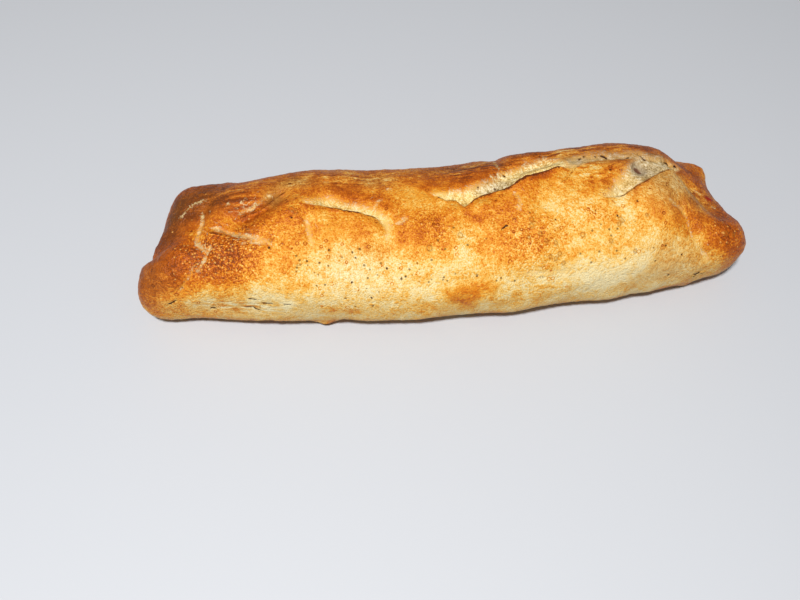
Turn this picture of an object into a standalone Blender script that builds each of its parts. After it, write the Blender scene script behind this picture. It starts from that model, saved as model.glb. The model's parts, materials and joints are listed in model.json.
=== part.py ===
"""Bedfordshire clanger: a long baked pastry roll, closed at both ends, lying on its flat base.

+X runs along the roll, +Y to its back and +Z up. The origin is the centre of its base.
Every size below is in millimetres, and the finished mesh is scaled to metres.

The roll starts as a UV sphere whose poles lie on the X axis. Each vertex moves to the baked
form, a row of uneven loaf-shaped sections with slanted, pinched ends. The crust's torn
splits, furrows, vent, hems and puffs are then pressed into it or raised out of it.

A place on the crust is given as (x, girth). Girth is 0 along the crown and grows down the
front, to about 40 at the foot. It is negative down the back.
"""

import bisect
import math

import bmesh
import bpy
from mathutils import Vector, noise

MM = 0.001

# Driving dimensions
LENGTH = 210.0
HALF_LENGTH = LENGTH / 2
WIDEST_HEIGHT = 15.0        # where the sides stand out furthest
END_DEPTH = 13.0            # how far from its tip an end starts to round off
END_SQUARENESS = 3.0        # 2 is a round end, more is a squarer one
CROWN_SQUARENESS = 2.25     # the section above its widest line
FOOT_SQUARENESS = 3.0       # the section below it
FOOT_SINK = 1.6             # the base is cut this far above the section's lowest point

# Girth is the angle around this line, which runs inside the roll, turned into a length
GIRTH_AXIS_HEIGHT = 12.0
GIRTH_PER_RADIAN = 25.0
AXIS_CLEARANCE = 12.0       # relief fades out nearer the line than this, on the end faces

# Mesh density
RINGS = 124
SEGMENTS = 46
CROWN_CROWDING = 0.45       # 0 spaces the segments evenly, more crowds them on the crown
END_FACE_WEIGHT = 25.0      # more gives the end faces more of the rings
MERIDIAN_STEPS = 400

# The loaf at stations along it: x, reach to the front, reach to the back, height of the crown
STATIONS = [
    (-105.0, 19.0, 22.0, 25.0),
    (-90.0, 20.6, 25.6, 31.8),
    (-60.0, 25.5, 28.0, 35.8),
    (-30.0, 28.0, 27.0, 35.5),
    (0.0, 30.2, 26.0, 35.5),
    (30.0, 29.6, 26.6, 36.8),
    (60.0, 28.2, 28.0, 37.6),
    (80.0, 25.7, 27.4, 34.8),
    (94.0, 23.0, 24.2, 26.4),
    (105.0, 21.0, 22.0, 20.0),
]

# Where each end's tip lies, from its front corner to its back one: y, x
LEFT_TIP = [
    (-26.0, -97.0),
    (-16.0, -105.5),
    (-7.0, -104.5),
    (3.0, -99.5),
    (14.0, -97.5),
    (26.0, -94.5),
]
RIGHT_TIP = [
    (-26.0, 101.0),
    (-18.0, 105.4),
    (-8.0, 103.0),
    (1.0, 100.0),
    (12.0, 97.5),
    (26.0, 94.0),
]
TIP_REACH = 45.0            # how far along the roll a tip's shape is felt

# Soft lumps drawn out of the plain loaf: centre, radius, how far its middle moves
PULLS = [
    ((-92.0, 20.0, 28.0), 16.0, (-1.0, 1.5, 2.5)),      # left end's back corner
    ((-101.0, -14.0, 12.0), 14.0, (-2.0, -1.2, 0.0)),   # left end's front lobe
    ((94.0, 17.0, 20.0), 10.0, (4.5, 0.5, 2.2)),        # right end's ear
    ((96.0, -14.0, 20.0), 16.0, (-0.5, -1.0, 2.5)),     # right end's front lobe
    ((-45.0, -22.0, 0.5), 6.5, (0.0, -4.0, 0.0)),       # crust that oozed out at the foot
    ((84.0, -19.0, 0.5), 6.0, (0.0, -3.0, 0.0)),
    ((20.0, 21.0, 0.5), 8.0, (0.0, 3.5, 0.0)),
]

# Soft valleys: half width, depth, and the path they follow, as (x, girth)
FURROWS = [
    (3.8, 2.8, [(-71, 1), (-65, -1), (-60, -4), (-57, -8)]),                    # left fold
    (2.4, 1.3, [(-81.5, -7), (-84, 1), (-84, 8), (-81.5, 14)]),                 # left crack
    (2.4, 1.0, [(-82, 16), (-86.5, 21), (-91, 27)]),
    (2.4, 1.2, [(-79, 2), (-71, 7), (-61, 12)]),
    (2.4, 1.0, [(-94, -3), (-88, -6.5), (-80, -10.5)]),                         # left end's fold
    (5.5, 2.6, [(-101, 8), (-95, 4), (-89, -1)]),                               # left notch
    (2.4, 0.8, [(-48, 4), (-47, 13)]),
    (2.4, 1.0, [(75, 11), (79, 17), (81, 24), (85, 30)]),                       # right crack
    (4.5, 2.5, [(81, -8), (86, -1), (90, 7), (94, 14)]),                        # right notch
    (3.0, 1.2, [(19, -26), (21, -13)]),                                         # split's branch
    (2.6, 0.7, [(-10, 27), (14, 29), (40, 30)]),                                # front crease
    (2.4, 0.8, [(-82, 34), (-72, 36), (-60, 35)]),                              # flaky foot
    (2.8, 1.4, [(-70, -24), (-42, -27), (-14, -25), (4, -29), (16, -34)]),      # back's cracks
    (2.8, 1.2, [(46, -31), (64, -27), (84, -25)]),
]

# Torn splits: width, depth, height of the lip, and the path of the lip. The torn floor lies
# behind the lip, which is the edge of the crust in front of it
SPLITS = [
    (7.0, 2.2, 1.3, [(-4, 1), (4, 4.5), (12, 2), (18.5, 0), (22, -4), (27, -8.3), (34, -9.8), (44, -13)]),
    (4.2, 1.5, 1.0, [(-47, -2), (-40, -0.5), (-33, 2.5), (-26, 7), (-22, 13)]),
    (6.5, 1.1, 0.8, [(54.5, 9.5), (59.5, 5), (66, 1), (71.5, -2.5), (78, -9)]),
    (4.0, 1.0, 0.5, [(42, -9.5), (47, -10), (53, -8.5), (60, -9), (67, -10)]),
]

# Swells and dents: x, girth, half size along, half size around, height
SWELLS = [
    (-52, 1, 7, 7, 1.8),
    (-75, 15, 9, 7, 1.0),
    (-66, -10, 7, 5, 1.0),
    (-91, 20, 8, 8, 1.0),
    (-34, 10, 9, 6, 0.9),
    (-12, 12, 9, 8, 0.9),
    (24, 13, 12, 10, 0.9),
    (28, -1, 6, 4, 1.0),
    (44, 3, 9, 8, 0.9),
    (71, 9, 9, 8, 1.3),
    (92, 22, 8, 8, 1.2),
    (45, -20, 22, 5, 1.5),
    (2, 33, 14, 6, 0.7),
    (6, 14, 5, 7, -0.7),
    (-48, 23, 8, 8, -0.7),
    (-33, -32, 18, 8, 1.3),
    (28, -36, 14, 8, 1.0),
    (-74, -34, 12, 8, -0.9),
    (66, -38, 12, 7, -0.8),
]

# The steam vent: x, girth, half size, depth
VENT = (66.4, -5.3, 2.6, 1.2)

# The crust's own unevenness: size of a bump, height
UNEVENNESS = [(21.0, 1.0), (8.0, 0.45)]
FLAT_FOOT_HEIGHT = 3.0      # relief fades out below this, so that the base stays flat
EDGE_SOFTNESS = 1.7         # half width of the step at a split's lip and floor
LIP_LENGTH = 5.0            # how far a lip's rise is felt in front of the split


def smoothstep(low, high, value):
    """0 below low, 1 above high, and a smooth step between them."""
    t = min(max((value - low) / (high - low), 0.0), 1.0)
    return t * t * (3 - 2 * t)


def through(points, x, column=1):
    """A column's value at x, on a smooth curve through points whose first column runs up."""
    xs = [row[0] for row in points]
    ys = [row[column] for row in points]
    x = min(max(x, xs[0]), xs[-1])
    i = min(max(bisect.bisect_right(xs, x) - 1, 0), len(xs) - 2)

    def slope(k):
        before, after = max(k - 1, 0), min(k + 1, len(xs) - 1)
        return (ys[after] - ys[before]) / (xs[after] - xs[before])

    span = xs[i + 1] - xs[i]
    t = (x - xs[i]) / span
    return (
        ys[i] * (2 * t**3 - 3 * t**2 + 1)
        + slope(i) * span * (t**3 - 2 * t**2 + t)
        + ys[i + 1] * (3 * t**2 - 2 * t**3)
        + slope(i + 1) * span * (t**3 - t**2)
    )


def meridian():
    """The roll's outline from tip to tip, as (x, share of the full section) at a share of the way."""
    quarter = []
    for k in range(MERIDIAN_STEPS + 1):
        turn = k / MERIDIAN_STEPS * math.pi / 2
        share = math.sin(turn) ** (2 / END_SQUARENESS)
        x = -HALF_LENGTH + END_DEPTH * (1 - math.cos(turn) ** (2 / END_SQUARENESS))
        quarter.append((x, share))
    line = quarter + [(-x, share) for x, share in reversed(quarter)]
    travelled = [0.0]
    for (x0, share0), (x1, share1) in zip(line, line[1:]):
        travelled.append(travelled[-1] + math.hypot(x1 - x0, END_FACE_WEIGHT * (share1 - share0)))

    def at(way):
        target = way * travelled[-1]
        i = min(max(bisect.bisect_right(travelled, target) - 1, 0), len(line) - 2)
        step = travelled[i + 1] - travelled[i]
        t = (target - travelled[i]) / step if step else 0.0
        return tuple(a + (b - a) * t for a, b in zip(line[i], line[i + 1]))

    return at


def power(value, squareness):
    """The signed power that turns a circle's sine or cosine into a squarer outline's."""
    return math.copysign(abs(value) ** (2 / squareness), value)


def section_point(x, turn, share):
    """A point of the section at x. turn is 0 at the crown and grows towards the front."""
    squareness = CROWN_SQUARENESS if math.cos(turn) > 0 else FOOT_SQUARENESS
    across = power(math.sin(turn), squareness)
    up = power(math.cos(turn), squareness)
    reach = through(STATIONS, x, 1 if across > 0 else 2)
    rise = through(STATIONS, x, 3) - WIDEST_HEIGHT if up > 0 else WIDEST_HEIGHT + FOOT_SINK
    return Vector((x, -across * reach * share, WIDEST_HEIGHT + up * rise * share))


def shape_tips(point):
    """Slides a point of an end along the roll, so that the end has its corners and its notch."""
    tip, end = (LEFT_TIP, -HALF_LENGTH) if point.x < 0 else (RIGHT_TIP, HALF_LENGTH)
    felt = smoothstep(HALF_LENGTH - TIP_REACH, HALF_LENGTH, abs(point.x))
    point.x += felt * (through(tip, point.y) - end)


def pull(point, centre, radius, move):
    """Draws a soft lump along by move, most at its centre and not at all past its radius."""
    distance = (point - Vector(centre)).length
    point += Vector(move) * (1 - smoothstep(0.0, radius, distance))


def girth_at(point):
    return GIRTH_PER_RADIAN * math.atan2(-point.y, point.z - GIRTH_AXIS_HEIGHT)


def from_path(path, x, girth):
    """How far (x, girth) lies from a path, in front of it if positive, and how far along it."""
    nearest = None
    for i, ((x0, g0), (x1, g1)) in enumerate(zip(path, path[1:])):
        along_x, along_g = x1 - x0, g1 - g0
        length_squared = along_x**2 + along_g**2
        t = min(max(((x - x0) * along_x + (girth - g0) * along_g) / length_squared, 0.0), 1.0)
        off_x, off_g = x - x0 - t * along_x, girth - g0 - t * along_g
        distance = math.hypot(off_x, off_g)
        if nearest is None or distance < nearest[0]:
            in_front = along_x * off_g - along_g * off_x
            nearest = distance, math.copysign(distance, in_front), (i + t) / (len(path) - 1)
    _, signed, way = nearest
    return signed, way


def furrow(x, girth, half_width, depth, path):
    distance, _ = from_path(path, x, girth)
    return -depth * math.exp(-((distance / half_width) ** 2))


def split(x, girth, width, depth, lip, path):
    """The torn floor behind a lip, and the rise of the crust in front of it."""
    distance, way = from_path(path, x, girth)
    fading = smoothstep(0.0, 0.15, way) * smoothstep(0.0, 0.15, 1 - way)
    behind = smoothstep(-width - EDGE_SOFTNESS, -width + EDGE_SOFTNESS, distance)
    before = 1 - smoothstep(-EDGE_SOFTNESS, EDGE_SOFTNESS, distance)
    raised = lip * math.exp(-max(distance, 0.0) / LIP_LENGTH) * (1 - before)
    near = 1 - smoothstep(LIP_LENGTH, 3 * LIP_LENGTH, abs(distance))
    return fading * near * (raised - depth * behind * before)


def swell(x, girth, centre_x, centre_girth, along, around, height):
    reach = ((x - centre_x) / along) ** 2 + ((girth - centre_girth) / around) ** 2
    return height * math.exp(-reach)


def relief(point):
    """How far the crust stands out from the plain form at a point."""
    x, girth = point.x, girth_at(point)
    height = sum(furrow(x, girth, *row) for row in FURROWS)
    height += sum(split(x, girth, *row) for row in SPLITS)
    height += sum(swell(x, girth, *row) for row in SWELLS)
    vent_x, vent_girth, vent_size, vent_depth = VENT
    height += swell(x, girth, vent_x, vent_girth, vent_size, vent_size, -vent_depth)
    height += sum(rise * noise.noise(point / size) for size, rise in UNEVENNESS)
    off_axis = math.hypot(point.y, point.z - GIRTH_AXIS_HEIGHT)
    fading = smoothstep(0.0, FLAT_FOOT_HEIGHT, point.z) * smoothstep(0.0, AXIS_CLEARANCE, off_axis)
    return height * fading


def build_form():
    """The sphere's vertices, moved ring by ring to the roll's sections."""
    bm = bmesh.new()
    bmesh.ops.create_uvsphere(bm, u_segments=SEGMENTS, v_segments=RINGS, radius=1.0)
    outline_at = meridian()
    for vertex in bm.verts:
        from_pole = math.acos(min(max(vertex.co.z, -1.0), 1.0))
        x, share = outline_at(1 - from_pole / math.pi)
        turn = math.atan2(vertex.co.y, vertex.co.x)
        turn -= CROWN_CROWDING * math.sin(turn)
        vertex.co = section_point(x, turn, share)
        shape_tips(vertex.co)
        for centre, radius, move in PULLS:
            pull(vertex.co, centre, radius, move)
        vertex.co.z = max(vertex.co.z, 0.0)
    return bm


def build_roll():
    """The plain form with the crust's relief, each vertex moved along its own normal."""
    bm = build_form()
    bm.normal_update()
    moves = [vertex.normal * relief(vertex.co) for vertex in bm.verts]
    for vertex, move in zip(bm.verts, moves):
        vertex.co += move
        vertex.co.z = max(vertex.co.z, 0.0)
    centre(bm)
    return bm


def centre(bm):
    """Slides the roll over its base, so that the origin is at the middle of its length and width."""
    for axis in range(2):
        reach = [vertex.co[axis] for vertex in bm.verts]
        middle = (min(reach) + max(reach)) / 2
        for vertex in bm.verts:
            vertex.co[axis] -= middle


def baked_pastry():
    """Egg-washed shortcrust, as one even golden brown."""
    material = bpy.data.materials.new("baked_pastry")
    material.use_nodes = True
    shader = material.node_tree.nodes["Principled BSDF"]
    shader.inputs["Base Color"].default_value = (0.72, 0.42, 0.16, 1.0)
    shader.inputs["Roughness"].default_value = 0.5
    shader.inputs["Metallic"].default_value = 0.0
    return material


def main():
    for old in list(bpy.data.objects):
        bpy.data.objects.remove(old)
    roll = build_roll()
    bmesh.ops.scale(roll, vec=(MM, MM, MM), verts=roll.verts)
    mesh = bpy.data.meshes.new("pastry")
    roll.to_mesh(mesh)
    roll.free()
    mesh.shade_smooth()
    mesh.materials.append(baked_pastry())
    pastry = bpy.data.objects.new("pastry", mesh)
    clanger = bpy.data.collections.new("clanger")
    bpy.context.scene.collection.children.link(clanger)
    clanger.objects.link(pastry)


main()
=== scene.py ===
"""Bedfordshire clanger: the baked crust of a long pastry roll, over its solid."""

import json
import math
from functools import partial

import bpy
import numpy as np
from mathutils import Matrix, Vector, noise

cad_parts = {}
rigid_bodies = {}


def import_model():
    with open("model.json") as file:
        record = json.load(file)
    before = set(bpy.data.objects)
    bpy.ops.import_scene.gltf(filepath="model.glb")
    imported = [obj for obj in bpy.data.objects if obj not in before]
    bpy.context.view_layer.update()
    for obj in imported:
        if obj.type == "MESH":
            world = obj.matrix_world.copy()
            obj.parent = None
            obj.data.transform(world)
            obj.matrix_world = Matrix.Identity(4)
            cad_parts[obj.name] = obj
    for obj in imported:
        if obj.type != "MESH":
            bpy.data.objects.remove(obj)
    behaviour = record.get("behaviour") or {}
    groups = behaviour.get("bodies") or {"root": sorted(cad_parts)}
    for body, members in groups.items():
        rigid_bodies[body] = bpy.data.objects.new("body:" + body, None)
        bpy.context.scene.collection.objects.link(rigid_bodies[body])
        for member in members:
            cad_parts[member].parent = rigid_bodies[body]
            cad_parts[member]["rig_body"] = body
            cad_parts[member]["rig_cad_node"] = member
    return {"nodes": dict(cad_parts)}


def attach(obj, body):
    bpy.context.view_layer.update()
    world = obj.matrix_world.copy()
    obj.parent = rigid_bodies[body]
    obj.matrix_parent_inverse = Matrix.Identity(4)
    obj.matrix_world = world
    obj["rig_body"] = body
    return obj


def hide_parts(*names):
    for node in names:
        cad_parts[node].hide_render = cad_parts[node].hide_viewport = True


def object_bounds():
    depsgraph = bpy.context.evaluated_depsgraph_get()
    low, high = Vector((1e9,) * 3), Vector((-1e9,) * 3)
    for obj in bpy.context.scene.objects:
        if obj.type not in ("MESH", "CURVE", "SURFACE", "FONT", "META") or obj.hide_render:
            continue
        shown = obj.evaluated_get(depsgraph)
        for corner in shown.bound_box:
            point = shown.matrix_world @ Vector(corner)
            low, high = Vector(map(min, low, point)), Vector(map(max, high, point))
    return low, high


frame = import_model()
cad_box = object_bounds()

MM = 0.001

# A place on the crust is (x, girth), in mm. x is the same as along the solid's own sections.
# Girth is 0 along the crown, grows down the front to about 40 at the foot, and is negative
# down the back. It is the angle round a line inside the roll, turned into a length.
ROLL_MIDDLE = (-1.17, -1.08)
GIRTH_AXIS_HEIGHT = 12.0
GIRTH_PER_RADIAN = 25.0

# Mesh of the crust
MERGE_DISTANCE = 0.01 * MM
FINER_LEVELS = 2
SMOOTHING_ROUNDS = 4
QUAD_ANGLE = math.radians(60)

# Drawn marks, in mm unless they are shares
MARK_REACH = 3.0            # how far from a mark its distance is still told
NO_MARK = -0.4              # the half width of a line where it isn't drawn
FLOOR_STEP = (-0.3, 0.5)    # where a torn floor's step starts and ends, behind its lip
FAR_RIM_SOFTNESS = 0.25     # how steep a floor's far rim is, as a share of its lip
TORN_BLEND = 0.5            # half width of the change from crust to crumbly dough
LIP_WIDTH = 0.8             # a crust edge rises over this, in front of its path
UNDERCUT = 0.5              # half width of the groove behind it
UNDERCUT_SHARE = 0.6        # the groove's depth, as a share of the lip's height
EDGE_LINE_OFFSET = 0.7      # how far in front of its path an edge's dark line lies
EDGE_LINE_WIDTH = 0.5       # half width of the line at full darkness
EDGE_TAPER, SEAM_TAPER, SLIT_TAPER = 0.1, 0.15, 0.3     # share over which each end thins out
PIT_DEPTH = 0.35
BLISTER_RISE = 0.3
VENT = (65.7, -5.0, 3.0, 3.0)       # x, girth, half sizes
VENT_DEPTH = 0.6
VENT_HOLE = 0.5             # the vent sinks where its spot is stronger than this
JAM_FLECK = (92.8, 1.5, 1.6, 2.4)   # x, girth, half sizes
CRUST_GRIT = 0.14           # how high the grit stands on whole crust
TORN_GRIT = 0.36            # and on torn dough
FLAT_FOOT_HEIGHT = 3.0      # relief fades out below this, so that the base stays flat
SPOT_FLATNESS = 1.4         # 1 is a bell curve, more has a flatter top

# Soft random bumps, each as (width in mm, strength)
LINE_WANDER = ((6.0, 0.5), (2.0, 0.15))             # strays this many mm
PATCH_WANDER_ALONG = ((9.0, 3.0), (3.5, 1.5))
PATCH_WANDER_AROUND = ((9.0, 2.4), (3.5, 1.5))
RAGGED_LINES = ((2.5, 0.7),)                        # share of a line's width
GRIT_BUMPS = ((1.7, 1.0), (1.0, 0.7))
CRUST_SWELLS = ((4.5, 0.20),)                       # mm high
UNEVEN_BAKE = ((13.0, 0.12), (5.0, 0.13))           # browning


# ---------------------------------------------------------------- small tools

def smoothstep(low, high, value):
    t = np.clip((value - low) / (high - low), 0.0, 1.0)
    return t * t * (3 - 2 * t)


def bell(distance, half_width):
    return np.exp(-((distance / half_width) ** 2))


def hex_colour(text):
    """A linear colour from an sRGB hex value."""
    channels = [int(text[i:i + 2], 16) / 255 for i in (1, 3, 5)]
    linear = [c / 12.92 if c <= 0.04045 else ((c + 0.055) / 1.055) ** 2.4 for c in channels]
    return (*linear, 1.0)


def pick(obj):
    """Makes one object the only selected one."""
    bpy.ops.object.select_all(action="DESELECT")
    obj.select_set(True)
    bpy.context.view_layer.objects.active = obj


def apply_modifier(obj, kind, **settings):
    pick(obj)
    modifier = obj.modifiers.new(kind.lower(), kind)
    for name, value in settings.items():
        setattr(modifier, name, value)
    bpy.ops.object.modifier_apply(modifier=modifier.name)


def field(points, size, seed):
    """Soft random heights from -1 to 1, one for each point. size is a bump's width in mm."""
    shift = Vector((seed * 17.3, seed * 5.1, seed * 9.7))
    return np.array([noise.noise(Vector(p) / size + shift) for p in points])


def bumps(points, sizes, seed):
    """Fields of several widths added up, each times its strength. Each has the next seed."""
    return sum(
        strength * field(points, size, seed + i) for i, (size, strength) in enumerate(sizes))


# ---------------------------------------------------------------- marks drawn on the crust

def read_points(obj):
    count = len(obj.data.vertices)
    points, normals = np.empty(count * 3), np.empty(count * 3)
    obj.data.vertices.foreach_get("co", points)
    obj.data.vertices.foreach_get("normal", normals)
    return points.reshape(-1, 3) / MM, normals.reshape(-1, 3)


def write_points(obj, points):
    obj.data.vertices.foreach_set("co", (points * MM).ravel())
    obj.data.update()


def crust_map(points):
    """x and girth of each point, in mm."""
    x = points[:, 0] + ROLL_MIDDLE[0]
    y = points[:, 1] + ROLL_MIDDLE[1]
    return x, GIRTH_PER_RADIAN * np.arctan2(-y, points[:, 2] - GIRTH_AXIS_HEIGHT)


def from_path(path, x, girth):
    """Distance from a path, positive in front of it, and how far along it from 0 to 1."""
    best = np.full(len(x), np.inf)
    across = np.zeros(len(x))
    way = np.zeros(len(x))
    lengths = [math.dist(a, b) for a, b in zip(path, path[1:])]
    rounding = 1e-6
    start = 0.0
    for (x0, g0), (x1, g1), length in zip(path, path[1:], lengths):
        ux, ug = (x1 - x0) / length, (g1 - g0) / length
        t = np.clip((x - x0) * ux + (girth - g0) * ug, 0.0, length)
        off_x, off_g = x - x0 - t * ux, girth - g0 - t * ug
        distance = np.hypot(off_x, off_g)
        this_across = ux * off_g - ug * off_x
        # Off a corner both of its stretches are as near, and the one seen more squarely counts
        squarer = np.abs(this_across) > np.abs(across)
        near = (distance < best - rounding) | ((distance < best + rounding) & squarer)
        best = np.where(near, distance, best)
        across = np.where(near, this_across, across)
        way = np.where(near, (start + t) / sum(lengths), way)
        start += length
    return best * np.sign(across), way


def inside_band(band, x, girth):
    """Distance from the rim of a band of crust, positive inside it. The band lies behind its
    own path, as wide as each row tells. Its far rim is soft."""
    path = [row[:2] for row in band]
    distance, way = from_path(path, x, girth)
    steps = np.cumsum([0.0] + [math.dist(p, q) for p, q in zip(path, path[1:])])
    width = np.interp(way, steps / steps[-1], [row[2] for row in band])
    return np.minimum(-distance, FAR_RIM_SOFTNESS * (width + distance))


def taper(way, share):
    """Thins a line out at both of its ends."""
    return smoothstep(0.0, share, way) * smoothstep(0.0, share, 1 - way)


def spot(x, girth, centre_x, centre_girth, along, around):
    """1 at a place on the crust, falling off softly over its half sizes."""
    away = ((x - centre_x) / along) ** 2 + ((girth - centre_girth) / around) ** 2
    return np.exp(-(away ** SPOT_FLATNESS))


# Torn pale dough that shows where the top layer split: depth, how bare, and a path along the
# lip in front of it, each place with the width of dough behind it
FLOORS = [
    (0.6, 1.0, [(-5.5, -1.4, 0.0), (-3, 0.4, 2.6), (-1.7, 1.4, 3.4), (1.6, 0.9, 3.8),
                (3.8, 4.8, 6.6), (8.3, 1.2, 4.8), (11.8, 0.1, 4.8), (15.5, -0.1, 6),
                (18.5, -0.4, 7.6), (21.1, -1, 8.2), (23.1, -2.5, 8.4), (25.5, -3.9, 8.2),
                (29, -4.4, 8.8), (32.8, -5.6, 9.2), (36.6, -7.1, 8.6), (40.6, -7.4, 5),
                (42.5, -7.4, 1)]),
    (0.3, 0.55, [(39.6, -7.2, 3), (43.1, -6, 6), (47, -7.5, 6), (48.5, -8.8, 4.6), (52, -10, 3.5),
                 (56.4, -10.4, 3), (60, -10, 3), (66, -8.6, 4), (72, -9, 3.4), (79, -10.5, 2.8),
                 (84, -13, 1)]),
    (0.5, 0.85, [(50.6, 6.9, 0), (54, 7, 2.6), (57, 6.4, 4.4), (61.2, 4.1, 5.6), (66.1, 1.5, 7.4),
                 (70.9, -1.1, 9.2), (76.6, -4.5, 8), (80.5, -8.6, 4.4), (84, -12.8, 0.6)]),
    (0.4, 0.9, [(-48, -1.5, 0.4), (-45, -0.8, 2.5), (-42, -0.2, 3.6), (-38.3, 1, 3.8),
                (-36, 2.2, 3.6), (-33.5, 3, 3.4), (-30.3, 3.8, 3.2), (-28, 5, 3),
                (-26.2, 5.9, 2.4), (-24.7, 7.7, 1.6), (-23, 10.5, 0.3)]),
]

# Edges where the crust ends above torn dough or over a fold: lip height, darkness, path.
# The darkness is that of a line painted along the lip, partly its darker crust and partly
# painted shade under the lip and in the fold.
# The crust lies in front of the path
EDGES = [
    (0.4, 0.3, [(-4.6, -1), (-3, 0.4), (-1.7, 1.4), (1.6, 0.9), (3, 3)]),
    (0.9, 1.0, [(3.8, 5.1), (8.3, 1.2), (11.8, 0.1), (15.5, -0.1), (18.5, -0.4), (21.1, -1),
                (23.1, -2.5), (25.5, -3.9), (29, -4.4), (32.8, -5.6), (36.6, -7.1), (40.6, -7.4)]),
    (0.3, 0.15, [(48.5, -8.8), (44, -5), (40, -1.5), (36, 1.5)]),
    (0.5, 0.4, [(53, 7), (57, 6.4), (61.2, 4.1), (66.1, 1.5), (70.9, -1.1), (76.6, -4.5),
                (80.5, -8.6)]),
    (0.4, 0.6, [(-42, -0.2), (-38.3, 1), (-36, 2.2), (-33.5, 3), (-30.3, 3.8), (-28, 5),
                (-26.2, 5.9), (-24.7, 7.7)]),
    (0.5, 0.45, [(-71.5, -0.6), (-69, -1.9), (-66, -2.6), (-63.6, -3.4), (-61.5, -4.8),
                 (-59.5, -7.2), (-57, -9.2), (-53.5, -10.6)]),
    (0.4, 0.6, [(-80, 5), (-77, 6.2), (-74.5, 7.4)]),
    (0.4, 0.5, [(-94, 5.5), (-91.5, 4.5), (-89, 2.2), (-87, 1.5)]),
    (0.5, 0.4, [(82, 39), (84.5, 38.2), (87.2, 37.4)]),
]

# Pale seams where the top layer only opened: half width, depth, path
SEAMS = [
    (0.7, 0.3, [(-82.6, -8.5), (-82.3, -4.5), (-82.5, -1), (-83.3, 2), (-83.8, 5.6), (-83.5, 8.6),
                (-82.6, 11), (-81.3, 13), (-80.4, 15)]),
    (0.4, 0.4, [(-79, 10.4), (-80, 13), (-81.6, 16), (-83.2, 18.4), (-85.5, 20.8)]),
    (0.15, 0.3, [(-85.2, 17), (-86.3, 20), (-88.4, 23.5), (-90.5, 26.5), (-92.4, 29)]),
    (0.9, 0.4, [(-80.8, 2.6), (-78.5, 3.4), (-75.6, 4.6), (-73, 6), (-70.5, 7.6), (-68, 9),
                (-65, 10.2), (-62.2, 11.2), (-60.6, 12.4), (-59.4, 14)]),
    (0.4, 0.2, [(-70.4, 11.6), (-67.5, 11.2), (-64, 11.8), (-61.5, 12.4)]),
    (0.03, 0.2, [(-91.5, -7.8), (-88.6, -9.6), (-86, -10.6), (-83.8, -11.6), (-79, -12.4)]),
    (0.5, 0.4, [(-71.4, -1.2), (-69.5, -2.8), (-67, -3.6), (-64.7, -4.8), (-62.8, -6.4),
                (-60.6, -8.6), (-58, -10)]),
    (0.12, 0.3, [(-74.6, -6.4), (-73, -6.8), (-71, -5.6), (-70.4, -4)]),
    (0.1, 0.2, [(-69.4, -6), (-68, -7), (-66.8, -8)]),
    (0.5, 0.3, [(-26, 2.3), (-25.2, 0.5), (-24.2, -0.6), (-22.3, -1.5)]),
    (0.7, 0.3, [(-20.3, 9.4), (-18.5, 8.9), (-17, 8.3), (-15.3, 7.2)]),
    (0.5, 0.2, [(-22.9, 10), (-22.6, 12.5), (-23.2, 15.5)]),
    (0.6, 0.2, [(-48.6, 4), (-48, 8), (-47.5, 11), (-47, 15)]),
    (0.4, 0.2, [(71, 9), (72.5, 10.1), (74.4, 11.5), (76.3, 12.9), (77.3, 14.6), (78, 16.4)]),
    (0.05, 0.1, [(78, 16.4), (78.8, 20), (80, 24.2)]),
    (0.4, 0.3, [(80, 24.2), (81.2, 25.8), (83, 27.5), (85.2, 30), (86.2, 32.8)]),
    (0.35, 0.2, [(19, 27.5), (25, 28), (33, 28.3), (38, 28.6)]),
    (0.4, 0.2, [(-27, 33.5), (-25.7, 35.5), (-24, 37.5)]),
    (0.5, 0.2, [(20.4, 1.5), (21.6, 4.5), (21.8, 7), (20.4, 9.5)]),
    (0.5, 0.2, [(18.6, -19), (18, -15), (18.4, -11)]),
    (0.4, 0.2, [(14.5, -9), (16, -7.8), (17.3, -6.5)]),
    (0.4, 0.2, [(83, 39.5), (84.5, 39), (86, 38.5)]),
    (0.4, 0.1, [(87.6, -3.6), (88.6, -2), (90.4, -1)]),
    (0.4, 0.1, [(92.6, 8), (93.4, 9.2), (94, 10.6)]),
    (0.45, 0.2, [(-21, -6.3), (-19.8, -6.6), (-18.6, -7)]),
    (0.5, 0.2, [(-42, -11.6), (-40.5, -11.2), (-39, -11.4)]),
    (1.1, 0.5, [(-66, -22), (-42, -26), (-14, -25), (4, -29), (16, -34)]),
    (1.1, 0.5, [(46, -31), (64, -27), (84, -25)]),
]

# Thin slits, painted near-black for the shade inside them: half width, depth, path
SLITS = [
    (0.50, 1.2, [(54.2, -13.6), (55.2, -12.9), (56.2, -12), (57.2, -11.1)]),
    (0.45, 1.0, [(77.5, -11.4), (78.8, -11.9), (80.4, -12.5)]),
    (0.35, 0.8, [(81.6, -13.3), (82.5, -13.8), (83.4, -13.9)]),
    (0.30, 0.6, [(46.6, -12.8), (47.7, -12.7), (48.8, -12.4)]),
    (0.28, 0.6, [(62.2, -11), (63.1, -10.8), (64.6, -11)]),
    (0.28, 0.5, [(67.1, -11.3), (68.4, -10.6), (69.6, -9.9), (71.6, -10.4)]),
    (0.38, 0.4, [(13.8, 15.6), (14.8, 14.5), (16.2, 13.5), (17.9, 13.8)]),
    (0.30, 0.4, [(-96.5, 34.2), (-94, 33), (-91.5, 31)]),
    (0.30, 0.4, [(-83.5, 37.8), (-81.5, 37.3), (-79.5, 37.5)]),
    (0.30, 0.4, [(-72, 35.8), (-69.5, 35.6), (-67.5, 36.7), (-64.5, 37.6)]),
    (0.26, 0.3, [(-70, 31), (-68, 30.8), (-66, 31.3)]),
    (0.26, 0.3, [(-66.5, 33), (-63.5, 33.2), (-60.5, 33)]),
    (0.22, 0.2, [(-59.5, 33.4), (-57, 33.2), (-54.5, 33.6)]),
    (0.35, 0.5, [(82.2, 38.9), (84, 38.2), (86, 37.6)]),
]

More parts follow.
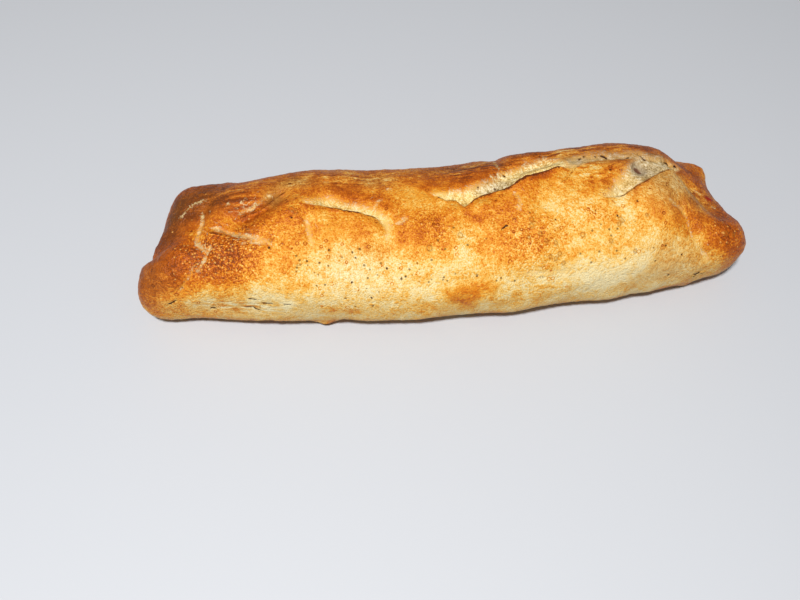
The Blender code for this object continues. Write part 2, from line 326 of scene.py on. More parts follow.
# Pinholes and burnt specks: x, girth, radius
PITS = [
    (-42.0, 16.3, 0.45), (-34.6, 17.6, 0.45), (-32.2, 16.8, 0.5), (-33.8, 19.3, 0.45),
    (-45.5, 20, 0.45), (-52.5, 20.2, 0.4), (-51.5, 20, 0.4), (-49.3, 19, 0.35), (-53, 22, 0.4),
    (-46.3, 23.6, 0.4), (-24.0, 23.2, 0.5), (-19.6, 26.5, 0.5), (-18, 26, 0.4), (-35.6, 26.3, 0.5),
    (-38, 31.6, 0.4), (-29.6, 31.8, 0.45), (-27.2, 30, 0.4), (-40.8, 27, 0.35), (5, 27, 0.5),
    (27, 29.4, 0.4), (26.2, 29.4, 0.4), (9, 17, 0.35), (16.3, -2.3, 0.5), (20, -9.6, 0.6),
    (15.6, -3.6, 0.5), (10, -4.5, 0.45), (55.4, -4.4, 0.5), (46.9, -12.3, 0.5),
    (48.8, -13.3, 0.45), (49.3, -13.4, 0.4), (52.7, -12.5, 0.5), (72, -9.8, 0.4),
    (67.6, -12, 0.35), (60.7, 9.3, 0.45), (34.2, -6, 0.4), (32.5, 13, 0.4), (25.8, 12.9, 0.35),
    (-53, 4.5, 0.5), (-61, 13.8, 0.5), (-85.8, 20.3, 0.4), (69, 23.5, 0.4), (75.5, 27.5, 0.45),
    (72.4, 35.4, 0.5), (46.3, 11.3, 0.35), (53.2, 13.4, 0.45), (-35, 34.6, 0.4), (-29.2, 35, 0.45),
    (-82.8, 12.8, 0.4), (-76.2, 4.3, 0.35), (-90.2, 26, 0.4), (92.3, 1.2, 0.45),
    (-89.5, -12.5, 0.35), (-10.2, 11.6, 0.35), (-41.5, 7.5, 0.3), (-41, 9.3, 0.3),
]

# Small round blisters, a pale dome in a darker ring: x, girth, radius
BLISTERS = [
    (0.7, 15.3, 0.8), (24.2, 14.3, 0.7), (24.5, 12.4, 0.7), (40.8, 18.2, 0.7), (31.5, 19.8, 0.6),
    (29.4, 23.4, 0.6), (31.2, 24.2, 0.6), (32.6, 22.9, 0.6), (33.8, 25.6, 0.6), (28.4, 19, 0.6),
    (-9.8, 18.3, 0.9), (53.8, 14.4, 0.6), (53.2, 16, 0.6), (54.6, 15.2, 0.5), (58, 24, 0.6),
    (50, 20.6, 0.6), (63, 14, 0.5), (-60.2, 11.4, 0.6), (-67.5, 6.4, 0.6), (92, 22.6, 0.7),
    (94.8, 23.4, 0.6), (-52.8, 1.2, 0.9), (-51.6, 2.6, 0.8), (26.6, 16.8, 0.6), (22.6, 17.6, 0.5),
]


def crust_relief(obj):
    """Moves the crust's points to its torn, blistered surface and tells the marks' distances."""
    points, normals = read_points(obj)
    x, girth = crust_map(points)
    # Wandering makes every drawn line as ragged as torn dough
    drawn_x = x + bumps(points, LINE_WANDER, seed=1)
    drawn_girth = girth + bumps(points, LINE_WANDER, seed=3)
    ragged = 1 + bumps(points, RAGGED_LINES, seed=10)
    height = np.zeros(len(x))
    # How far inside a floor, pit or blister a place lies, and how bare its floor is
    marks = {name: np.full(len(x), -MARK_REACH) for name in ("floor", "pit", "blister")}
    marks["bare"] = np.zeros(len(x))
    # How far off the middle of the nearest line a place lies, and that line's half width
    marks |= {name: np.full(len(x), MARK_REACH) for name in ("edge", "seam", "slit")}
    marks |= {name + "_width": np.full(len(x), NO_MARK) for name in ("edge", "seam", "slit")}

    def mark(name, inside):
        marks[name] = np.maximum(marks[name], np.minimum(inside, MARK_REACH))

    def draw(name, distance, half_width, ends):
        """Keeps the nearest line of a kind, thinned out at its ends."""
        nearer = np.abs(distance) < np.abs(marks[name])
        width = NO_MARK + (half_width - NO_MARK) * ends
        marks[name] = np.where(nearer, distance, marks[name])
        marks[name + "_width"] = np.where(nearer, width, marks[name + "_width"])

    for depth, bareness, band in FLOORS:
        inside = inside_band(band, drawn_x, drawn_girth)
        height -= depth * smoothstep(*FLOOR_STEP, inside)
        marks["bare"] = np.where(inside > marks["floor"], bareness, marks["bare"])
        mark("floor", inside)
    for lip, darkness, path in EDGES:
        distance, way = from_path(path, drawn_x, drawn_girth)
        ends = taper(way, EDGE_TAPER)
        rise = bell(distance - LIP_WIDTH, LIP_WIDTH)
        groove = UNDERCUT_SHARE * bell(distance + UNDERCUT, UNDERCUT)
        height += lip * ends * (rise - groove)
        draw("edge", distance - EDGE_LINE_OFFSET, EDGE_LINE_WIDTH * darkness * ragged, ends)
    for half_width, depth, path in SEAMS:
        distance, way = from_path(path, drawn_x, drawn_girth)
        ends = taper(way, SEAM_TAPER)
        height -= depth * ends * bell(distance, half_width)
        draw("seam", distance, half_width * (1 + ragged) / 2, ends)
    for half_width, depth, path in SLITS:
        distance, way = from_path(path, drawn_x, drawn_girth)
        ends = taper(way, SLIT_TAPER)
        height -= depth * ends * bell(distance, half_width)
        draw("slit", distance, half_width * ragged, ends)
    for name, places, rise in (("pit", PITS, -PIT_DEPTH), ("blister", BLISTERS, BLISTER_RISE)):
        for centre_x, centre_girth, radius in places:
            distance = np.hypot(x - centre_x, girth - centre_girth)
            height += rise * bell(distance, radius)
            mark(name, radius - distance)
    marks["vent"] = spot(x, girth, *VENT)
    height -= VENT_DEPTH * smoothstep(VENT_HOLE, 1.0, marks["vent"])
    bared = np.maximum(marks["floor"], marks["seam_width"] - np.abs(marks["seam"]))
    torn = smoothstep(-TORN_BLEND, TORN_BLEND, bared)
    height += (CRUST_GRIT + (TORN_GRIT - CRUST_GRIT) * torn) * bumps(points, GRIT_BUMPS, seed=5)
    height += bumps(points, CRUST_SWELLS, seed=7)
    points += normals * (height * smoothstep(0.0, FLAT_FOOT_HEIGHT, points[:, 2]))[:, None]
    low, high = (np.array(corner) / MM for corner in cad_box)
    write_points(obj, np.clip(points, low, high))
    return points, x, girth, marks


# How the oven coloured the crust, with some rows of painted light on the foot and painted shade
# in a fold: x, girth, half sizes, browning, speckle.
# Browning runs from 0 for bare dough to 1 for deep red-brown
BASE_BROWNING = 0.42
BASE_SPECKLE = 0.40
TOASTED_RIM = 0.14          # browning added round torn dough
RIM_DISTANCE = 1.1          # how far from the dough it is strongest, in mm
RIM_HALF_WIDTH = 1.0
PATCHES = [
    # broad forms: both ends, the back and the pale front
    (-100, 8, 13, 22, 0.40, -0.1),
    (-82, -12, 20, 12, 0.46, -0.1),
    (-77, 14, 13, 9, 0.45, 0.5),
    (0, -22, 110, 12, 0.28, 0.0),
    (100, 8, 12, 24, 0.40, 0.1),
    (0, 32, 85, 9, -0.26, 0.0),
    (-35, 23, 20, 6, -0.20, 0.1),
    (47, 24, 18, 12, -0.12, 0.0),
    (50, 31, 16, 7, -0.04, -0.1),
    (-60, 34, 16, 7, -0.06, -0.2),
    (0, -50, 120, 9, -0.20, 0.0),
    # Paler along the foot: painted light, bounced up from the floor
    (0, 42, 95, 4, -0.12, -0.1),
    # left end
    (-94, 0, 4.5, 9, 0.10, 0.0),
    (-71, -16, 9, 6, -0.16, 0.1),
    (-103, 34, 6, 10, 0.30, 0.0),
    (-74, 16, 8, 6, 0.0, 0.2),
    (-60, 0, 8, 6, 0.32, 0.1),
    (-62, 8, 7, 4, 0.18, 0.1),
    (-54, 28, 4, 3, 0.17, 0.0),
    (-48, 4, 3, 3, 0.08, 0.0),
    (-49, 26, 3, 3, -0.10, 0.0),
    (-54, 21, 3, 3, 0.10, 0.0),
    (-45, 15, 4, 3, -0.10, 0.0),
    # Paler at the foot: painted light, bounced up from the floor
    (-63, 41, 6, 3, -0.08, 0.0),
    (-70, -4, 5, 4, 0.16, 0.0),
    (-69, 24, 6, 4, 0.10, 0.1),
    (-85, 24, 4, 4, 0.12, 0.0),
    # Darker in the left fold: painted shade
    (-58, -7, 3.5, 4, 0.10, -0.3),
    (-92, 24, 7, 5, 0.10, 0.1),
    (-60, 28, 8, 6, -0.06, 0.0),
    (-86, -3, 3, 5, 0.12, 0.0),
    (-68, 4, 4, 3, 0.10, 0.2),
    (-51, 3, 4, 5, 0.12, 0.1),
    # middle left
    (-38, -9, 8, 4, 0.14, 0.0),
    (-41, 9, 4, 4, 0.16, -0.15),
    (-27, 8, 3, 3, -0.14, 0.0),
    (-4, 22, 5, 3, -0.16, 0.0),
    (-27, -3, 9, 3, 0.12, 0.0),
    (-23, -13, 5, 4, -0.10, 0.0),
    (-10, -3, 8, 6, -0.10, -0.2),
    (-31, 9, 7, 4, 0.14, -0.05),
    (-31, 5.5, 4, 2, -0.08, 0.0),
    (-32, 15, 4, 3, 0.10, 0.0),
    (-32, 30, 5, 3, -0.10, 0.0),
    (-9, 10, 7, 5, 0.21, 0.2),
    (-6, 16, 3, 3, 0.10, 0.2),
    (3, 18, 4, 5, -0.24, 0.1),
    (-22, 8, 3, 5, -0.16, 0.0),
    (-22, 4, 3, 2.5, 0.12, 0.0),
    (-39, 36, 6, 2, 0.24, 0.1),
    (-15, 37, 8, 3, 0.18, 0.0),
    (2, 32, 9, 4.5, 0.34, -0.15),
    (1, 37, 6, 3, 0.16, 0.0),
    # middle right
    (2, -10, 17, 5, 0.18, 0.0),
    (17, 4, 8, 3, 0.10, 0.0),
    (12, 10, 8, 4, 0.12, 0.1),
    (23, 18, 10, 6, 0.11, 0.3),
    (36, 14, 4, 5, 0.08, 0.1),
    (42, 25, 6, 3, 0.08, 0.0),
    (38, 1, 4, 3, 0.12, 0.0),
    (57, 8, 3, 4, -0.12, 0.0),
    (64, 20, 7, 7, -0.14, 0.0),
    (42, -17, 6, 3, -0.28, 0.0),
    (74, -15, 6, 3, 0.16, 0.0),
    (31, -4, 5, 2.5, 0.26, -0.1),
    (24, 0, 5, 3, 0.10, 0.0),
    (36, 11, 8, 9, -0.12, 0.0),
    (37, 9, 4, 3, -0.10, 0.0),
    (33, 27, 5, 3, 0.10, 0.0),
    (45, 12, 5, 3, 0.08, 0.3),
    (55, 9, 3, 7, -0.18, 0.0),
    (48, 6, 5, 4, -0.10, 0.0),
    (50, -4, 5, 3, 0.06, 0.0),
    (20, 36, 13, 4, 0.11, 0.0),
    (37, 34, 5, 2, 0.08, 0.0),
    (30, 14, 4, 4, 0.12, 0.0),
    (36, 22, 4, 5, 0.12, 0.0),
    (19, 26, 4, 4, 0.09, 0.0),
    # right end
    (70, 13, 7, 6, 0.06, -0.1),
    (68, 30, 12, 6, 0.08, -0.1),
    (68, 34, 7, 3, -0.07, 0.0),
    (70, -11, 5, 3, 0.08, 0.0),
    (90, 21, 7, 7, 0.24, 0.1),
    (87, 29, 4, 4, 0.14, 0.0),
    (72, 6, 6, 4, 0.10, 0.0),
    # Paler at the foot: painted light, bounced up from the floor
    (62, 41, 11, 3, -0.16, 0.0),
    (97, 31, 5, 8, 0.18, 0.0),
    (80, 12, 6, 8, 0.18, 0.0),
    (88, -12, 8, 10, 0.18, 0.0),
]

# Damp, olive or grey crust and dough, and painted shade in a fold and on a steep end wall:
# x, girth, half sizes, amount
GREY_AND_SHADED_PLACES = [
    (-94, -3, 5, 10, 0.40),
    (-92, -14, 5, 5, 0.35),
    (-82, -12, 12, 9, 0.45),
    (-101, 24, 8, 16, 0.40),
    # Olive grey in the left fold: painted shade
    (-58.5, -7, 3.5, 4, 0.80),
    (-52, -13, 7, 3, 0.60),
    (-30, -17, 50, 9, 0.30),
    (60, -20, 50, 7, 0.30),
    (-78, 36, 18, 5, 0.35),
    (-35, 21, 13, 6, 0.30),
    (-24, -12, 6, 4, 0.35),
    (6, -16, 16, 3, 0.30),
    (12, -3, 4, 3.5, 0.75),
    (18, -4.5, 4, 4, 0.85),
    (44.5, -11, 4, 3.5, 0.90),
    (56, -11.5, 12, 3.5, 0.70),
    (66, -4, 7, 6, 0.70),
    (76, -9, 9, 5, 0.70),
    (57, 4, 5, 4, 0.40),
    # These two: olive grey on the right end's steep wall, partly olive crust, partly painted shade
    (76, 3, 9, 9, 0.65),
    (84, 8, 4, 9, 0.45),
    (70, 6, 8, 8, 0.25),
    (92, 4, 6, 12, 0.40),
    (70, 28, 13, 7, 0.45),
    (50, 33, 12, 5, 0.35),
    (76, 36, 16, 6, 0.45),
]

# Where pinholes crowd together: x, girth, half sizes, amount
PEPPERED_PLACES = [
    (-27, 22, 6, 3, 0.6),
    (-20, 25, 7, 3, 1.0),
    (-10, 27, 7, 2, 0.8),
    (2, 26.5, 4, 2, 0.5),
    (-38, 24, 10, 6, 0.3),
    (-50, 20, 4, 4, 0.5),
    (-8, 20, 6, 4, 0.5),
    (16, 28, 5, 3, 0.4),
    (14, -4, 5, 3, 0.5),
    (58, 3, 3, 2, 0.5),
    (48, 22, 14, 8, 0.25),
    (66, 25, 8, 5, 0.3),
    (0, 15, 70, 14, 0.16),
]

# Where the crust lies in thin flakes that run along the roll: x, girth, half sizes, amount
FLAKY_PLACES = [
    (-72, 35, 16, 4, 0.9),
    (-35, -14, 22, 5, 0.7),
    (10, -14, 12, 5, 1.0),
    (40, -17, 20, 3, 0.8),
    (70, -15, 14, 4, 0.6),
    (50, -4, 8, 5, 0.7),
    (-74, -12, 12, 6, 0.6),
    (-67, -5, 6, 3, 0.8),
    (20, 33, 20, 4, 0.3),
    (90, 0, 6, 10, 0.5),
]


def total(places, x, girth, start=0.0):
    """The places' amounts added up at each point, kept from 0 to 1."""
    return np.clip(start + sum(row[4] * spot(x, girth, *row[:4]) for row in places), 0.0, 1.0)


def speckle(x, girth):
    return total([(*row[:4], row[5]) for row in PATCHES], x, girth, BASE_SPECKLE)


def browning(points, x, girth, floor):
    """The patches with wandering outlines and mottle, and a toasted rim round torn dough."""
    start = BASE_BROWNING + bumps(points, UNEVEN_BAKE, seed=8)
    start += TOASTED_RIM * bell(floor + RIM_DISTANCE, RIM_HALF_WIDTH)
    wandering_x = x + bumps(points, PATCH_WANDER_ALONG, seed=11)
    wandering_girth = girth + bumps(points, PATCH_WANDER_AROUND, seed=13)
    return total(PATCHES, wandering_x, wandering_girth, start)


def paint(obj, name, values):
    attribute = obj.data.attributes.new(name, "FLOAT", "POINT")
    attribute.data.foreach_set("value", np.asarray(values, dtype=np.float32))


# ---------------------------------------------------------------- materials

# Patterns of the crust, as repeats per metre
BLOTCHES = 400.0            # 2.5 mm across
GRIT = 1100.0               # 0.9 mm
GRAIN = 2200.0              # 0.45 mm
FLAKES = 700.0              # 1.4 mm wide
FLAKE_STRETCH = 0.22        # and with this 6.5 mm long
EGG_BUBBLES = 600.0         # one in 1.7 mm, a ring 1.2 mm across
FAT_BLISTERS_AND_GLINTS = 850.0        # one in 1.2 mm, 0.6 mm across
PINHOLES = 520.0            # one in 1.9 mm, 0.7 mm across

# Spots in the cells of a pattern. Distances from a cell's middle are shares of the spacing
BUBBLE_RADIUS = 0.36
BUBBLE_FADE = {"From Min": 0.10, "From Max": 0.02}
BUBBLE_CHANCE = 0.35
# Pale spots of fat, also painted as highlights: glints of light on the egg gloss
BLISTER_AND_GLINT_FADE = {"From Min": 0.36, "From Max": 0.18}
BLISTER_AND_GLINT_CHANCE = {1: 2.0, 2: -0.5}      # times browning and speckle, and added to that
BLISTER_AND_GLINT_PALENESS = 0.65
PINHOLE_FADE = {"From Min": 0.24, "From Max": 0.14}
PINHOLE_DARKNESS = 0.75

# How strongly each pattern browns the crust
BLOTCH_SHADE = 0.38
FINE_SHADE = 1.2
BUBBLE_SHADE = 0.40
FLAKE_SHADE = 2.2
FINE_GRAIN_SHARE = 0.8      # of the grain in the fine speckle, beside 1 of grit
ROUGH_EDGE = 2.2            # how far crumbs and blotches push a drawn edge about
SEAM_BARENESS = 0.43        # share of dough in an open seam

# The dried egg's gloss, and the fine relief that is too small for the mesh
CRUST_ROUGHNESS = 0.36
TORN_ROUGHNESS = 0.8
BLISTER_SMOOTHING = -0.15   # added to the roughness on a blister of fat
EGG_IOR = 1.45
EGG_SPECULAR = 0.12
RELIEF_HEIGHT = 0.6 * MM
RELIEF_STRENGTH = 0.6
BLISTER_RELIEF = 0.5
FLAKE_RELIEF = 1.2

# Colours that go over the crust and the dough. The blister tint is partly a painted highlight;
# the edge, slit and vent-core tints are partly painted shade
FAT_BLISTER_AND_GLINT_TINT = "#E6A854"
PINHOLE_TINT = "#6B4A1C"
EDGE_CRUST_AND_SHADE_TINT = "#642E0E"
SLIT_SHADE_TINT = "#3C1C08"
PIT_TINT = "#4A2408"
RING_TINT = "#8A5418"
JAM_TINT = "#8C1E10"
STEAM_STAIN = "#8A7B66"
VENT_HOLE_SHADE_AND_FILLING = "#5E3020"


def add(tree, kind, settings=None, links=None, stops=(), output=0):
    """Adds a shader node with its settings, links and colour stops, and gives one output."""
    node = tree.nodes.new(kind)
    for name, value in (settings or {}).items():
        if isinstance(name, str) and hasattr(node, name):
            setattr(node, name, value)
        else:
            node.inputs[name].default_value = value
    for name, source in (links or {}).items():
        tree.links.new(source, node.inputs[name])
    if stops:
        elements = node.color_ramp.elements
        for position, _ in stops[1:-1]:
            elements.new(position)
        for element, (position, colour) in zip(elements, stops):
            element.position = position
            element.color = hex_colour(colour)
    return node.outputs[output]


def egg_washed_shortcrust():
    """Shortcrust brushed with egg and baked. Fine speckle and small blisters of set fat run
    through blotches from cream to red-brown, with a low gloss where the egg dried. The blisters'
    pale dots are partly a painted highlight for glints of light, and the dark lines along crust
    edges and in slits are partly painted shade. Torn places show dry, crumbly, pale dough."""
    material = bpy.data.materials.new("egg_washed_shortcrust")
    material.use_nodes = True
    tree = material.node_tree
    shader = tree.nodes["Principled BSDF"]
    node = partial(add, tree)
    place = node("ShaderNodeTexCoord", output="Object")
    names = ("browning", "speckle", "greyness", "pepper", "flaky", "jam", "floor", "bare", "vent",
             "pit", "blister")
    bake, speckled, grey, pepper, flaky, jam, floor, bare, vent, pit, blister = [
        node("ShaderNodeAttribute", {"attribute_name": name}, output="Fac") for name in names]
    # How far a place lies inside each kind of drawn line, in mm
    inside = []
    for name in ("edge", "seam", "slit"):
        distance = node("ShaderNodeAttribute", {"attribute_name": name}, output="Fac")
        distance = node("ShaderNodeMath", {"operation": "ABSOLUTE"}, {0: distance})
        width = node("ShaderNodeAttribute", {"attribute_name": name + "_width"}, output="Fac")
        inside.append(node("ShaderNodeMath", {"operation": "SUBTRACT"}, {0: width, 1: distance}))
    edge, seam, slit = inside

    # The patterns, each centred on 0 before it is added
    along = node("ShaderNodeMapping", {"Scale": (FLAKE_STRETCH, 1.0, 1.0)}, {"Vector": place})
    blotch, grit, grain, flakes = [
        node("ShaderNodeTexNoise", {"Scale": scale, "Detail": detail}, {"Vector": vector})
        for scale, detail, vector in (
            (BLOTCHES, 2.0, place), (GRIT, 1.0, place), (GRAIN, 1.0, place), (FLAKES, 3.0, along))]
    blotch, grit, grain, flakes = [
        node("ShaderNodeMath", {"operation": "SUBTRACT", 1: 0.5}, {0: source})
        for source in (blotch, grit, grain, flakes)]
    fine = node("ShaderNodeMath", {"operation": "MULTIPLY_ADD", 1: FINE_GRAIN_SHARE},
                {0: grain, 2: grit})
    fine_shade = node("ShaderNodeMath", {"operation": "MULTIPLY"}, {0: fine, 1: speckled})
    flaked = node("ShaderNodeMath", {"operation": "MULTIPLY"}, {0: flakes, 1: flaky})
    # Bubbles of set egg, each a thin darker ring. A cell's random colour says whether it has one
    cells = node("ShaderNodeTexVoronoi", {"Scale": EGG_BUBBLES}, {"Vector": place})
    bubble = node("ShaderNodeMath", {"operation": "SUBTRACT", 1: BUBBLE_RADIUS}, {0: cells})
    bubble = node("ShaderNodeMath", {"operation": "ABSOLUTE"}, {0: bubble})
    bubble = node("ShaderNodeMapRange", BUBBLE_FADE, {"Value": bubble})
    chance = node("ShaderNodeMath", {"operation": "MULTIPLY", 1: BUBBLE_CHANCE}, {0: speckled})
    chosen = node("ShaderNodeMath", {"operation": "LESS_THAN"},
                  {0: cells.node.outputs["Color"], 1: chance})
    bubble = node("ShaderNodeMath", {"operation": "MULTIPLY"}, {0: bubble, 1: chosen})
    shade = bake
    for pattern, strength in (
            (blotch, BLOTCH_SHADE), (fine_shade, FINE_SHADE), (bubble, BUBBLE_SHADE),
            (flaked, FLAKE_SHADE)):
        shade = node("ShaderNodeMath", {"operation": "MULTIPLY_ADD", 1: strength},
                     {0: pattern, 2: shade})
    crust = node("ShaderNodeValToRGB", links={"Fac": shade}, stops=[
        (0.00, "#E0CE9C"), (0.14, "#DCC082"), (0.28, "#DAAC56"), (0.42, "#D28E2C"),
        (0.56, "#C47018"), (0.70, "#AA5410"), (0.85, "#96460C"), (1.00, "#74340C")])
    # A greyer ramp for damp or olive crust, which also carries the painted shade in the left fold
    # and on the right end wall
    damp_and_shaded_crust = node("ShaderNodeValToRGB", links={"Fac": shade}, stops=[
        (0.00, "#DACAA0"), (0.25, "#CEB078"), (0.50, "#B0803C"), (0.75, "#8A5620"),
        (1.00, "#583618")])
    colour = node("ShaderNodeMix", {"data_type": "RGBA"}, {0: grey, 6: crust, 7: damp_and_shaded_crust},
                  output=2)

    # Small pale blisters of fat in the well baked speckle, painted paler than the fat alone:
    # they also stand in for glints of light on the egg gloss, a painted highlight
    cells = node("ShaderNodeTexVoronoi", {"Scale": FAT_BLISTERS_AND_GLINTS}, {"Vector": place})
    chance = node("ShaderNodeMath", {"operation": "MULTIPLY"}, {0: bake, 1: speckled})
    chance = node("ShaderNodeMath", {"operation": "MULTIPLY_ADD"} | BLISTER_AND_GLINT_CHANCE, {0: chance})
    chosen = node("ShaderNodeMath", {"operation": "LESS_THAN"},
                  {0: cells.node.outputs["Color"], 1: chance})
    glint = node("ShaderNodeMapRange", BLISTER_AND_GLINT_FADE, {"Value": cells})
    glint = node("ShaderNodeMath", {"operation": "MULTIPLY"}, {0: glint, 1: chosen})
    # The pale dots are partly the fat's own colour and partly a painted highlight
    pale = node("ShaderNodeMath", {"operation": "MULTIPLY", 1: BLISTER_AND_GLINT_PALENESS}, {0: glint})
    colour = node("ShaderNodeMix", {"data_type": "RGBA", 7: hex_colour(FAT_BLISTER_AND_GLINT_TINT)},
                  {0: pale, 6: colour}, output=2)

    # Torn dough, pale where it dried and grey where steam wet it. A seam only shows dry dough,
    # with crust left between the crumbs
    crumbs = node("ShaderNodeMath", {"operation": "ADD"}, {0: fine, 1: blotch})
    rough_edge = node("ShaderNodeMath", {"operation": "MULTIPLY", 1: ROUGH_EDGE}, {0: crumbs})
    dough = node("ShaderNodeMath", {"operation": "ADD", 1: 0.5}, {0: crumbs})
    dry_dough = node("ShaderNodeValToRGB", links={"Fac": dough}, stops=[
        (0.20, "#B89048"), (0.36, "#D4B068"), (0.52, "#DFC27C"), (0.65, "#E6CC8C"),
        (0.80, "#ECD8A4")])
    damp_dough = node("ShaderNodeValToRGB", links={"Fac": dough}, stops=[
        (0.20, "#74603E"), (0.42, "#AE9870"), (0.60, "#C4AF86"), (0.80, "#DCCFB0")])
    dough = node("ShaderNodeMix", {"data_type": "RGBA"}, {0: grey, 6: dry_dough, 7: damp_dough},
                 output=2)
    seam_bare = node("ShaderNodeMath", {"operation": "ADD", 1: SEAM_BARENESS}, {0: blotch})
    for distance, ragged, softness, share, bared in (
            (floor, 0.3, 0.4, bare, dough), (seam, 0.7, 0.35, seam_bare, dry_dough)):
        torn = node("ShaderNodeMath", {"operation": "MULTIPLY_ADD", 1: ragged},
                    {0: rough_edge, 2: distance})
        torn = node("ShaderNodeMapRange", {"From Min": -softness, "From Max": softness},
                    {"Value": torn, "To Max": share})
        colour = node("ShaderNodeMix", {"data_type": "RGBA"}, {0: torn, 6: colour, 7: bared},
                      output=2)

    # Crowded pinholes
    cells = node("ShaderNodeTexVoronoi", {"Scale": PINHOLES}, {"Vector": place})
    chosen = node("ShaderNodeMath", {"operation": "LESS_THAN"},
                  {0: cells.node.outputs["Color"], 1: pepper})
    fade = PINHOLE_FADE | {"To Max": PINHOLE_DARKNESS}
    hole = node("ShaderNodeMapRange", fade, {"Value": cells})
    hole = node("ShaderNodeMath", {"operation": "MULTIPLY"}, {0: hole, 1: chosen})
    colour = node("ShaderNodeMix", {"data_type": "RGBA", 7: hex_colour(PINHOLE_TINT)},
                  {0: hole, 6: colour}, output=2)

    # Dark lines along crust edges, partly darker crust and partly painted shade under the lips and
    # in folds, near-black painted shade inside the slits, and burnt specks, each over the range of
    # distances in mm where its colour comes in
    for distance, low, high, tint, ragged in (
            (edge, -0.15, 0.25, EDGE_CRUST_AND_SHADE_TINT, 0.20), (slit, -0.12, 0.15, SLIT_SHADE_TINT, 0.10),
            (pit, -0.10, 0.20, PIT_TINT, 0.10)):
        wavy = node("ShaderNodeMath", {"operation": "MULTIPLY_ADD", 1: ragged},
                    {0: rough_edge, 2: distance})
        line = node("ShaderNodeMapRange", {"From Min": low, "From Max": high}, {"Value": wavy})
        colour = node("ShaderNodeMix", {"data_type": "RGBA", 7: hex_colour(tint)},
                      {0: line, 6: colour}, output=2)
    # Rings round the drawn blisters, then the fleck of jam
    ring = node("ShaderNodeMath", {"operation": "ABSOLUTE"}, {0: blister})
    ring = node("ShaderNodeMapRange", {"From Min": 0.32, "From Max": 0.1, "To Max": 0.5},
                {"Value": ring})
    for share, tint in ((ring, RING_TINT), (jam, JAM_TINT)):
        colour = node("ShaderNodeMix", {"data_type": "RGBA", 7: hex_colour(tint)},
                      {0: share, 6: colour}, output=2)
    # A steam vent: a dark core painted into its hole, partly the filling's colour and partly
    # painted shade inside the hole, in a damp grey ring
    for low, high, share, tint in (
            (0.05, 0.70, 0.65, STEAM_STAIN), (0.86, 0.96, 0.85, VENT_HOLE_SHADE_AND_FILLING)):
        stain = node("ShaderNodeMapRange", {"From Min": low, "From Max": high, "To Max": share},
                     {"Value": vent})
        colour = node("ShaderNodeMix", {"data_type": "RGBA", 7: hex_colour(tint)},
                      {0: stain, 6: colour}, output=2)
    tree.links.new(colour, shader.inputs["Base Color"])

    # The egg's low gloss, lost on torn dough
    rough = node("ShaderNodeMapRange", {
        "From Min": -0.3, "From Max": 0.3, "To Min": CRUST_ROUGHNESS, "To Max": TORN_ROUGHNESS},
        {"Value": floor})
    rough = node("ShaderNodeMath", {"operation": "MULTIPLY_ADD", 1: BLISTER_SMOOTHING},
                 {0: glint, 2: rough})
    tree.links.new(rough, shader.inputs["Roughness"])
    shader.inputs["IOR"].default_value = EGG_IOR
    shader.inputs["Specular IOR Level"].default_value = EGG_SPECULAR

    relief = node("ShaderNodeMath", {"operation": "MULTIPLY_ADD", 1: BLISTER_RELIEF},
                  {0: glint, 2: fine})
    relief = node("ShaderNodeMath", {"operation": "MULTIPLY_ADD", 1: FLAKE_RELIEF},
                  {0: flaked, 2: relief})
    relief = node("ShaderNodeMath", {"operation": "SUBTRACT"}, {0: relief, 1: hole})
    bump = node("ShaderNodeBump", {"Strength": RELIEF_STRENGTH, "Distance": RELIEF_HEIGHT},
                {"Height": relief})
    tree.links.new(bump, shader.inputs["Normal"])
    return material


# ---------------------------------------------------------------- the crust

def build_crust():
    """A merged copy of the solid, made finer and given its torn and blistered skin."""
    pick(frame["nodes"]["pastry"])
    bpy.ops.object.duplicate()
    crust = bpy.context.view_layer.objects.active
    crust.name = "crust"
    crust.data.name = "crust"
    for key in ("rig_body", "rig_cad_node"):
        if key in crust:
            del crust[key]
    crust.data.materials.clear()
    bpy.ops.object.mode_set(mode="EDIT")
    bpy.ops.mesh.select_all(action="SELECT")
    bpy.ops.mesh.remove_doubles(threshold=MERGE_DISTANCE)
    bpy.ops.mesh.tris_convert_to_quads(face_threshold=QUAD_ANGLE, shape_threshold=QUAD_ANGLE)
    bpy.ops.object.mode_set(mode="OBJECT")
    apply_modifier(crust, "SUBSURF", levels=FINER_LEVELS, render_levels=FINER_LEVELS)
    apply_modifier(crust, "SMOOTH", factor=0.5, iterations=SMOOTHING_ROUNDS)
    points, x, girth, marks = crust_relief(crust)
    marks |= {
        "browning": browning(points, x, girth, marks["floor"]),
        "speckle": speckle(x, girth),
        "greyness": total(GREY_AND_SHADED_PLACES, x, girth),
        "pepper": total(PEPPERED_PLACES, x, girth),
        "flaky": total(FLAKY_PLACES, x, girth),
        "jam": spot(x, girth, *JAM_FLECK),
    }
    for name, values in marks.items():
        paint(crust, name, values)
    pick(crust)
    bpy.ops.object.shade_smooth()
    crust.data.materials.append(egg_washed_shortcrust())
    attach(crust, "root")
    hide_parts("pastry")


build_crust()


# ---------------------------------------------------------------- studio

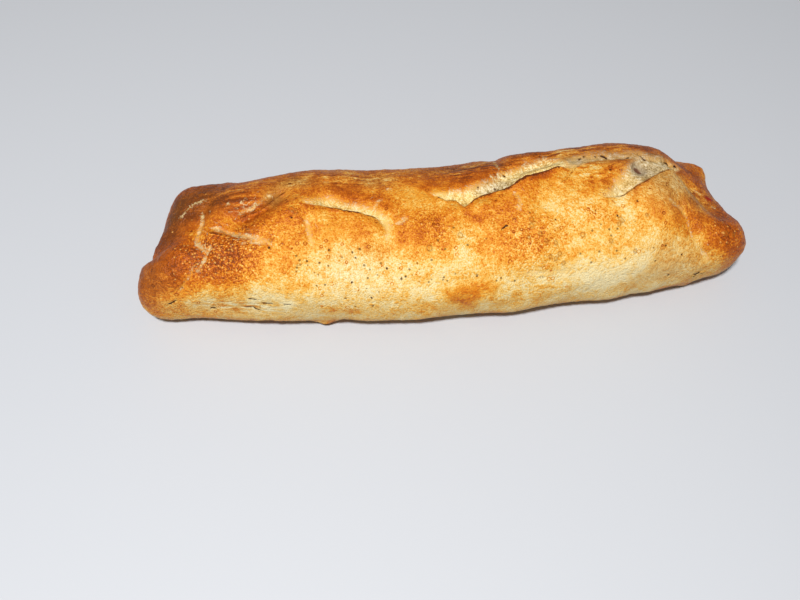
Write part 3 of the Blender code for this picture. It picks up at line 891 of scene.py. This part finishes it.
CAMERA_PLACE = (-47.35, -192.12, 261.5)     # mm
CAMERA_YAW = -9.7                           # degrees
CAMERA_TILT = 34.6                          # degrees from straight down
CAMERA_ROLL = 2.76                          # degrees
CAMERA_LENS = 40.5                          # mm of focal length
NEAREST_SEEN = 10.0                         # mm from the camera
FLOOR_SIZE = 4.0                            # m
FLOOR_COLOUR = "#B8BABE"
FLOOR_ROUGHNESS = 0.6
SKY_COLOUR = "#F4F5F7"
SKY_STRENGTH = 0.24
LIGHT_PLACE = (-0.167, -0.357, 0.809)       # m
LIGHT_SIZE = 0.10                           # m across
LIGHT_POWER = 10.6                          # W


def place_camera():
    data = bpy.data.cameras.new("camera")
    data.lens = CAMERA_LENS
    data.clip_start = NEAREST_SEEN * MM
    camera = bpy.data.objects.new("camera", data)
    bpy.context.scene.collection.objects.link(camera)
    turn = (
        Matrix.Rotation(math.radians(CAMERA_YAW), 4, "Z")
        @ Matrix.Rotation(math.radians(CAMERA_TILT), 4, "X")
        @ Matrix.Rotation(math.radians(CAMERA_ROLL), 4, "Z")
    )
    camera.matrix_world = Matrix.Translation(Vector(CAMERA_PLACE) * MM) @ turn
    bpy.context.scene.camera = camera


def place_light():
    """One soft round lamp above the front, turned to the middle of the roll's base."""
    data = bpy.data.lights.new("overhead", "AREA")
    data.shape = "DISK"
    data.size = LIGHT_SIZE
    data.energy = LIGHT_POWER
    light = bpy.data.objects.new("overhead", data)
    bpy.context.scene.collection.objects.link(light)
    light.location = LIGHT_PLACE
    light.rotation_euler = (-Vector(LIGHT_PLACE)).to_track_quat("-Z", "Y").to_euler()


def build_studio():
    bpy.ops.object.select_all(action="DESELECT")
    bpy.ops.mesh.primitive_plane_add(size=FLOOR_SIZE)
    floor = bpy.context.view_layer.objects.active
    floor.name = "floor"
    material = bpy.data.materials.new("pale_floor")
    material.use_nodes = True
    shader = material.node_tree.nodes["Principled BSDF"]
    shader.inputs["Base Color"].default_value = hex_colour(FLOOR_COLOUR)
    shader.inputs["Roughness"].default_value = FLOOR_ROUGHNESS
    floor.data.materials.append(material)
    world = bpy.data.worlds.new("studio")
    world.use_nodes = True
    background = world.node_tree.nodes["Background"]
    background.inputs["Color"].default_value = hex_colour(SKY_COLOUR)
    background.inputs["Strength"].default_value = SKY_STRENGTH
    bpy.context.scene.world = world
    place_light()
    bpy.context.scene.view_settings.view_transform = "Standard"


place_camera()
build_studio()
